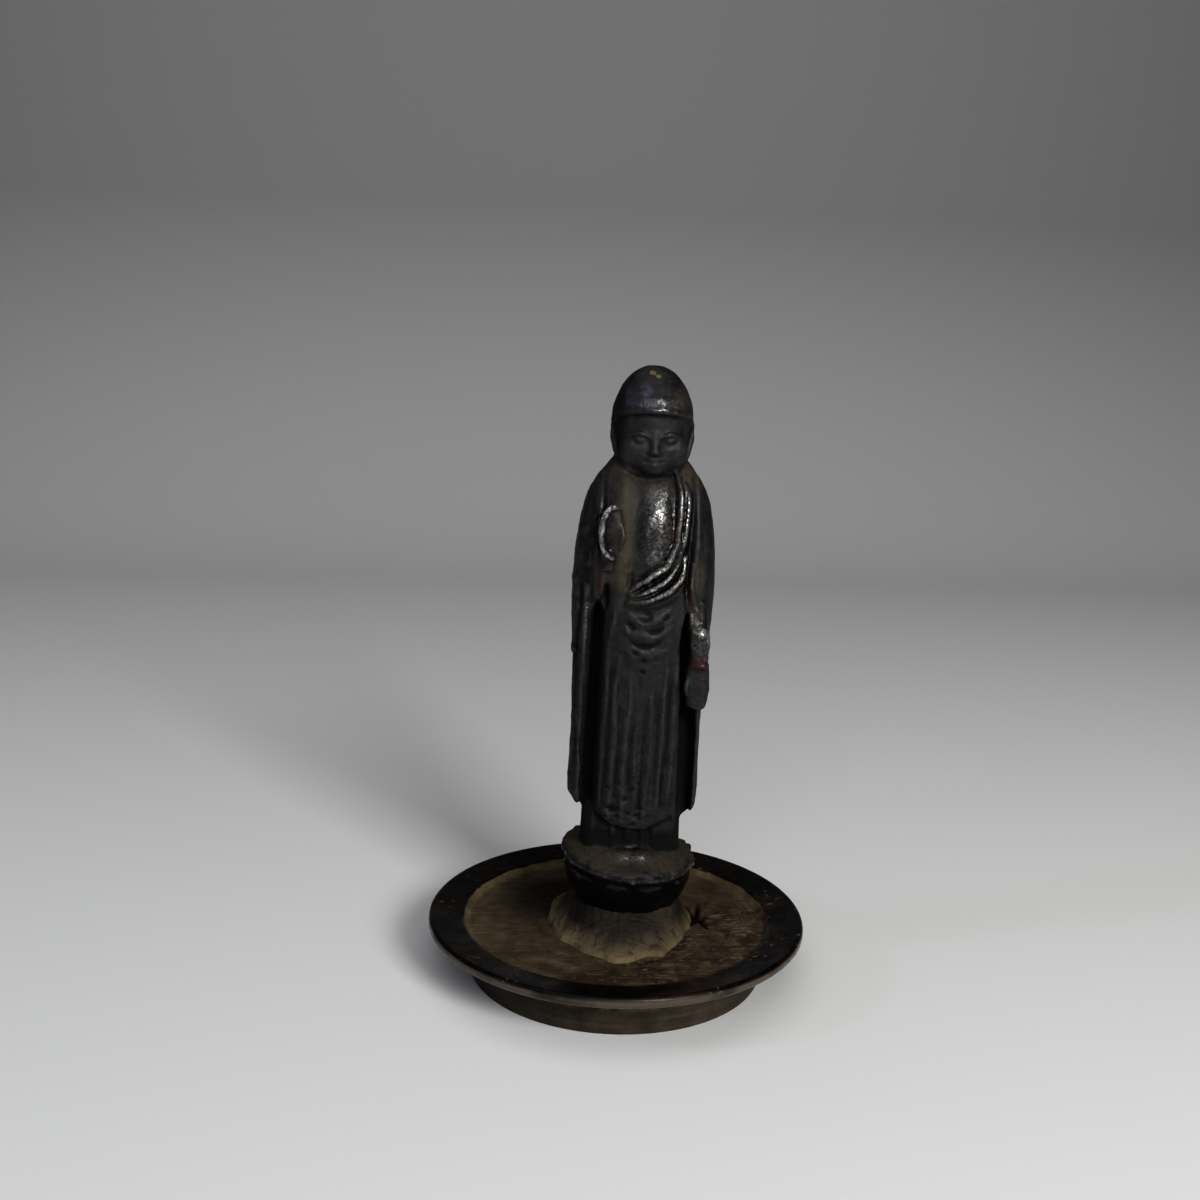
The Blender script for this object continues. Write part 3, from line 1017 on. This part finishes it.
# The face is calm and plain, with half-closed eyes. Hairline to brow, brow to nose and nose to chin are
# a third each, and it is five eyes wide.
EYE_WIDTH = 2.5
EYE_X = EYE_WIDTH
NOSE_FOOT = CHIN + THIRD
BROW = CHIN + 2 * THIRD
EYE_LINE = BROW - 1
MOUTH_LINE = CHIN + 0.67 * THIRD
for side in (-1, 1):
    pellet((side * 3.1, -4.4, EYE_LINE - 2), (2.6, 1.35, 2.4), 2)
    pellet((side * EYE_X, -6.7, EYE_LINE + 0.2), (1.7, 0.75, 0.9), 0.9, carve=True)
    rope([(side * 0.8, -6.05, BROW - 0.4), (side * 2.5, -6, BROW + 0.25), (side * 4.7, -4.7, BROW - 0.5)],
         0.36, 0.5)
    pellet((side * EYE_X, -5.35, EYE_LINE + 0.05), (EYE_WIDTH / 2, 0.85, 0.68), 0.3)
    rope([(side * (EYE_X - 1.25), -6, EYE_LINE - 0.2), (side * EYE_X, -6.25, EYE_LINE - 0.42),
          (side * (EYE_X + 1.25), -5.3, EYE_LINE - 0.15)], 0.2, 0.15, carve=True, slim=0.5)
    pellet((side * 0.8, -6, NOSE_FOOT + 0.42), (0.55, 0.6, 0.45), 0.35)
rope([(0, -5.6, BROW + 0.2), (0, -6, EYE_LINE), (0, -6.6, NOSE_FOOT + 0.7)], 0.62, 0.7, slim=0)
pellet((0, -6.6, NOSE_FOOT + 0.55), (0.68, 0.6, 0.52), 0.4)
pellet((0, -5.3, MOUTH_LINE), (2.3, 0.8, 1.15), 0.9)
for radius, blend, carve, slim, half in (
    (0.34, 0.2, False, 0.5, [(0, -6.16, 0.34), (0.7, -6.12, 0.44), (1.75, -5.5, 0.24)]),
    (0.4, 0.2, False, 0.5, [(0, -6.15, -0.52), (1.35, -5.65, -0.28)]),
    (0.24, 0.1, True, 0.4, [(0, -6.5, 0), (0.9, -6.35, -0.04), (1.9, -5.8, 0.16)]),
    (0.24, 0.3, True, 0.5, [(0, -6.1, -1.05), (1, -5.9, -0.98)]),
):
    lip = both_sides(*((x, y, MOUTH_LINE + z) for x, y, z in half))
    rope(lip, radius, blend, carve, slim)
pellet((0, -5.15, CHIN + 0.95), (1.7, 0.75, 0.8), 0.8)


def wear(low, high, rounds):
    """Softens every edge between two corners of the grid, as handling and wax do"""
    cut, _ = zone(low, high)
    part = bronze[cut]
    for _ in range(rounds if CELL < 0.3 else rounds // 2):
        for axis in range(3):
            part = np.moveaxis(part, axis, 0)
            part[1:-1] = 0.25 * part[:-2] + 0.5 * part[1:-1] + 0.25 * part[2:]
            part = np.moveaxis(part, 0, axis)
    bronze[cut] = part


wear(GRID_LOW, (14, 14, 26), 4)
wear((-14, -14, 25), (14, 14, 69), 2)
wear((-14, -14, 68), (14, 14, 91), 2)
wear((-14, -14, 90), (14, 14, 101), 1)
wear((-14, -14, 100), GRID_HIGH, 3)


def skin_over(field):
    """The skin where a field of distances is zero: one point in each cell it crosses, joined by squares"""
    inside = field < 0
    size = np.array(field.shape) - 1
    corners = [
        inside[i : size[0] + i, j : size[1] + j, k : size[2] + k]
        for i in (0, 1) for j in (0, 1) for k in (0, 1)
    ]
    filled = np.sum(corners, axis=0, dtype=np.int8)
    cells = np.argwhere((filled > 0) & (filled < 8))
    number = np.zeros(size, np.int32)
    number[tuple(cells.T)] = np.arange(len(cells))
    total, hits = np.zeros((len(cells), 3)), np.zeros((len(cells), 1))
    faces = []
    for axis in range(3):
        u, v = (axis + 1) % 3, (axis + 2) % 3
        for a in (0, 1):
            for b in (0, 1):
                start = cells.copy()
                start[:, u] += a
                start[:, v] += b
                end = start.copy()
                end[:, axis] += 1
                near, far = field[tuple(start.T)], field[tuple(end.T)]
                hit = (near < 0) != (far < 0)
                crossing = start[hit].astype(float)
                crossing[:, axis] += near[hit] / (near[hit] - far[hit])
                total[hit] += crossing
                hits[hit] += 1
        lower = np.moveaxis(inside, axis, 0)[:-1]
        upper = np.moveaxis(inside, axis, 0)[1:]
        edges = np.argwhere(np.moveaxis(lower != upper, 0, axis))
        edges = edges[(edges[:, u] > 0) & (edges[:, v] > 0)]
        quad = []
        for a, b in ((1, 1), (0, 1), (0, 0), (1, 0)):
            cell = edges.copy()
            cell[:, u] -= a
            cell[:, v] -= b
            quad.append(number[tuple(cell.T)])
        quad = np.stack(quad, 1)
        leaving = inside[tuple(edges.T)]
        faces.append(np.where(leaving[:, None], quad, quad[:, ::-1]))
    return total / hits, np.concatenate(faces)


def leaned(points):
    """Leans points as the casting leans, and sets them over the mound"""
    x, y, z = np.transpose(points)
    z = z - LEAN_HEIGHT
    sine, cosine = math.sin(LEAN), math.cos(LEAN)
    return np.stack([x * cosine + z * sine + FIGURE_X, y, z * cosine - x * sine + LEAN_HEIGHT], 1)


# Patina: dark and satin on the skirt, glossy on the worn chest, sash, wrist, cap and seat. Bare metal shows
# on the ridges, with black dirt in the hollows, brown dust in sheltered places, red copper oxide at the
# wrist, a violet sheen on the cap and two flecks of old gilding on the crown.
bronze_patina, shader, place = new_finish("worn_bronze_patina", Specular_IOR_Level=0.32)
dusty, hollow, rubbed, glossy, bare, pitted, oxide, violet, gilded = (
    mark(shader, name)
    for name in ("dusty", "hollow", "rubbed", "glossy", "bare", "pitted", "oxide", "violet", "gilded")
)
blots = cloud(place, 420, 0.3, 0.7, 5, 0.6)
fine_blots = cloud(place, 1500, 0.35, 0.65, 3)
flecks = cloud(place, 2300, 0.4, 0.62, 2, 0.6)
crust = cloud(stretched(place, 1, 1, 0.3), 900, 0.3, 0.72, 3, 0.6)
dust_share = times(dusty, mixed(0.45, 1, fine_blots))
gilt_share = spread(plus(gilded, times(cloud(place, 1700, 0.2, 0.8), 0.5)), 0.78, 0.86)
bare_share = times(times(bare, mixed(0.12, 1, rubbed)), minus(1, hollow))
bare_share = times(times(bare_share, mixed(0.1, 1, flecks)), 0.85)
metal = layered(
    (0.0065, 0.0063, 0.0075),
    ((0.021, 0.02, 0.019), blots),
    ((0.045, 0.043, 0.04), times(rubbed, mixed(0.15, 0.6, fine_blots))),
    ((0.003, 0.0026, 0.0026), times(hollow, 0.85)),
    ((0.056, 0.046, 0.029), dust_share),
    ((0.06, 0.052, 0.085), times(violet, cloud(place, 700, 0.4, 0.62))),
    ((0.045, 0.009, 0.006), times(oxide, cloud(place, 900, 0.3, 0.55))),
    ((0.15, 0.115, 0.045), gilt_share),
    ((0.56, 0.545, 0.52), bare_share),
)
satin = plus(0.42, times(plus(blots, crust), 0.2))
rough = mixed(mixed(satin, 0.97, times(hollow, 0.9)), mixed(0.13, 0.26, fine_blots), glossy)
rough = mixed(rough, 0.8, times(dust_share, 0.9))
metallic = maths("MAXIMUM", times(gilt_share, 0.5), bare_share)
feed_shader(shader, Base_Color=metal, Metallic=metallic, Roughness=rough)
grainy = mixed(0.22, 1, pitted)
rolling = dent(shader, times(cloud(place, 800, 0.2, 0.8, 2), grainy), 0.07)
dent(shader, times(cloud(place, 1700, 0.25, 0.75, 2.5, 0.6), grainy), 0.06, rolling)

# The skin of the casting: soft lumps left by the wax, fine pits, and long streaks down the cloth
cast_skin, given = new_tree("casting_skin", Lump_Size=0.0027, Lump_Depth=0.00022, Pit_Size=0.0009,
                            Pit_Depth=0.00017, Streak_Depth=0.00018)
spot = add_node(cast_skin, "GeometryNodeInputPosition").outputs[0]
way_out = add_node(cast_skin, "GeometryNodeInputNormal").outputs[0]


def uneven(place, size, depth):
    """Noise of one size, centred on nothing and as deep as given"""
    feeds = {"Vector": place, "Scale": maths("DIVIDE", 1, size), "Detail": 1}
    return times(minus(output_of("ShaderNodeTexNoise", feeds), 0.52), depth)


down_cloth = stretched(spot, 1, 1, 0.14)
spot_height = add_node(cast_skin, "ShaderNodeSeparateXYZ", [spot]).outputs["Z"]
on_cloth = times(spread(spot_height, 28 * MM, 34 * MM), spread(spot_height, 88 * MM, 76 * MM))
bumps = plus(uneven(spot, given["Lump Size"], given["Lump Depth"]),
             uneven(spot, given["Pit Size"], given["Pit Depth"]))
drawn = times(uneven(down_cloth, given["Pit Size"], given["Streak Depth"]), on_cloth)
feeds = {0: way_out, "Scale": plus(bumps, drawn)}
shift = output_of("ShaderNodeVectorMath", feeds, operation="SCALE")
feeds = {"Geometry": given["Geometry"], "Offset": shift}
close_tree(cast_skin, output_of("GeometryNodeSetPosition", feeds), bronze_patina)

MOST_TRIANGLES = 196000
grid_points, squares = skin_over(bronze)
raw_skin = new_piece("bronze_raw_skin", grid_points * CELL + GRID_LOW, squares, bronze_patina)
fewer = raw_skin.modifiers.new("fewer_triangles", "DECIMATE")
fewer.ratio = min(1, MOST_TRIANGLES / (2 * len(squares)))
figure = made_by(cast_skin, raw_skin, "bronze_casting")


def how_filled(points, reach):
    """How much bronze lies within a reach of each point: a half on flat skin, more in a hollow"""
    filled = limit(0.5 - bronze / (2 * CELL))
    cells = max(1, round(reach / CELL / 2))
    for _ in range(2):
        for axis in range(3):
            margins = [(cells, cells) if i == axis else (0, 0) for i in range(3)]
            rows = np.moveaxis(np.pad(filled, margins, "edge"), axis, 0)
            total = np.cumsum(rows, axis=0, dtype=np.float64)
            total = np.concatenate([np.zeros_like(total[:1]), total])
            width = 2 * cells + 1
            filled = np.moveaxis(((total[width:] - total[:-width]) / width).astype(np.float32), 0, axis)
    place = (points - GRID_LOW) / CELL
    corner = np.clip(np.floor(place).astype(int), 0, np.array(filled.shape) - 2)
    part = place - corner
    value = 0
    for i in (0, 1):
        for j in (0, 1):
            for k in (0, 1):
                weight = np.prod(np.where([i, j, k], part, 1 - part), axis=1)
                value = value + weight * filled[tuple((corner + (i, j, k)).T)]
    return value


points = mesh_points(figure)
x, y, z = points.T
normals = np.empty(len(points) * 3, np.float32)
figure.data.vertices.foreach_get("normal", normals)
facing = normals.reshape(-1, 3)
front = limit(0.6 - y / 4)
near_fill, wide_fill = how_filled(points, 0.9), how_filled(points, 2)


def patches(*spots):
    """Soft patches on the front: middle x and z, half width and height, and strength in the middle"""
    total = 0
    for middle_x, middle_z, half_width, half_height, strength in spots:
        away = ((x - middle_x) / half_width) ** 2 + ((z - middle_z) / half_height) ** 2
        total = total + strength * np.exp(-(away**2))
    return front * total


def ramp(value, start, end):
    """From 0 at the start to 1 at the end, and held there"""
    return limit((value - start) / (end - start))


# Where the skin lies: on the seat, on the robe's relief, and in or out of its folds
seat_level = z - x * SEAT_TILT[0] - y * SEAT_TILT[1]
by_seat = ramp(z, 24.8, 24.2)
above_seat = ramp(z, 24, 24.6)
on_map = tuple(np.rint((points[:, axis] - GRID_LOW[axis]) / CELL).astype(int) for axis in (0, 2))
beside_hands = (1 - patches((-6.6, 80.5, 2.6, 5.6, 1))) * (1 - patches((9.8, 58, 2.4, 9, 1)))
relief_here = stands_out[on_map] * ramp(y, -1, -2) * ramp(z, 27, 29) * ramp(z, 92, 90) * beside_hands
chest_fold = patches((5.6, 83, 1.6, 7.5, 1))
sash = patches((3, 72.5, 5, 4.5, 1)) * ramp(z, 67, 69)

dirt = ramp(near_fill, 0.52, 0.62) * 0.7 + ramp(wide_fill, 0.56, 0.76) * 0.6
dirt = dirt + ramp(-relief_here, 0.03, 0.21) * 0.8 + ramp(seat_level, 20.8, 20.4) * 0.95
dirt = dirt + above_seat * (ramp(z, 28.2, 26.7) * limit(-y) * 0.9 + ramp(z, 27.6, 27) * 0.4)
for middle, half in (SLOT_RIGHT, SLOT_LEFT):
    off = np.abs(x - by_height(middle, z, 0.5)) - by_height(half, z, 0.5)
    dirt = dirt + ramp(off, 0.5, 0) * ramp(y, -6.5, -5) * ramp(y, 1.5, -0.5) * ramp(z, 68.5, 66.5)
dirt = dirt + patches((0.3, 89.4, 6, 1.2, 0.7), (-6.4, 100, 1.8, 7, 0.8), (-6.6, 46, 1.6, 17, 0.4),
                      (-9.4, 22.4, 2.4, 1.8, 0.5), (-6.6, 75.6, 1.7, 0.6, 0.6), (-6.7, 70, 1.2, 2.4, 0.9))

facing_up = ramp(facing[:, 2], 0.25, 0.875)
on_shoulders = ramp(z, 86, 89) * ramp(z, 97, 95)
on_seat_top = ramp(z, 27, 25.5) * ramp(np.hypot(x, y), 5, 8) * limit(0.25 + np.abs(x) / 5)
dust = facing_up * (on_shoulders + on_seat_top) * 0.8 + patches(
    (-4.6, 85, 1.8, 8, 0.75), (-4.1, 75, 1.4, 6, 0.85), (-6.8, 73, 1.5, 2.2, 0.4), (8.6, 72.5, 1.5, 4, 0.7),
    (8.2, 65.2, 0.9, 1.6, 0.9), (-9.6, 58, 0.5, 14, 0.3), (6.6, 90, 1.6, 2.6, 0.6),
    (4.6, 103.2, 1.8, 1.8, 0.55), (-0.4, 95, 2, 5, 0.15),
)

gloss = chest_fold + sash + ramp(seat_level, 21.9, 21.3) + 0.25 * ramp(z, 101, 103)
gloss = gloss + 0.25 * ramp(z, 60, 70) * ramp(z, 90, 86) + patches(
    (1.2, 81, 3.2, 8.5, 1), (-7.2, 80.5, 2.2, 5, 1), (9.6, 61.5, 2, 4.4, 1), (0.9, 102.1, 3.2, 1.5, 1),
    (0, 101.5, 9, 2, 0.25), (-1.9, 104, 1.7, 2, 0.5), (0, 23.9, 3, 1, 1), (-10.1, 68, 0.6, 9, 0.8),
    (8.2, 65.6, 1.4, 2.4, 1), (0, 96, 5, 4, 0.12),
)

worn = (0.475 - near_fill) / 0.09 + (relief_here - 0.07) / 0.28
worn = limit(worn + patches((1.4, 80.5, 2.4, 8, 0.45), (0.9, 102.2, 2.6, 0.9, 0.35)))
worn = worn * (1 - 0.75 * by_seat * ramp(seat_level, 21.6, 22)) * (1 - 0.5 * by_seat)

crest = ramp(relief_here, 0.28, 0.46)
bared = patches((1.3, 80.5, 3, 8.5, 1)) * ramp(z, 66, 84) + (chest_fold + sash) * crest
bared = limit(bared) + patches((-7.6, 80.5, 2, 5.4, 1)) * ramp(near_fill, 0.4, 0.33)
bared = bared + limit(1.4 - np.abs(seat_level - 21.25) / 0.35) * limit(-y / 3) + patches(
    (9.8, 62, 1.6, 3, 0.8), (0.9, 102.2, 3.2, 1, 1.2), (-0.2, 23.8, 3.4, 1, 1), (8.2, 65.6, 1.4, 2.4, 0.7),
    (-10.1, 68, 0.5, 9, 0.12),
)

pits = patches((1.2, 80, 3.6, 9, 1), (9.8, 62, 2, 3, 0.7)) + 0.85 * ramp(z, 69, 66) * ramp(z, 26, 28) + 0.15
rust = patches(
    (9.6, 58.6, 2.4, 0.9, 0.8), (10.6, 56.4, 1, 1.6, 0.3), (-8, 66, 0.5, 10, 0.4), (3.9, 81, 0.35, 3, 0.5),
    (7.2, 71, 0.4, 4, 0.5), (-6.9, 85.5, 1.2, 0.5, 0.5),
)
sheen = patches((-2, 104.4, 1.2, 1.1, 1), (-2.3, 102.2, 1.3, 0.7, 1), (-4.4, 102.6, 0.8, 2, 0.4))
for name, values in {
    "hollow": dirt,
    "rubbed": worn,
    "dusty": limit(dust) * (1 - 0.9 * ramp(near_fill, 0.48, 0.4)),
    "glossy": gloss,
    "bare": bared,
    "pitted": pits,
    "oxide": rust,
    "violet": sheen,
    "gilded": patches((-0.7, 107.3, 0.65, 0.4, 1), (0.3, 106.75, 0.6, 0.42, 1)),
}.items():
    add_mark(figure, name, limit(values))
set_mesh_points(figure, leaned(points))
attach(figure, "root")
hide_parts("buddha_figure")
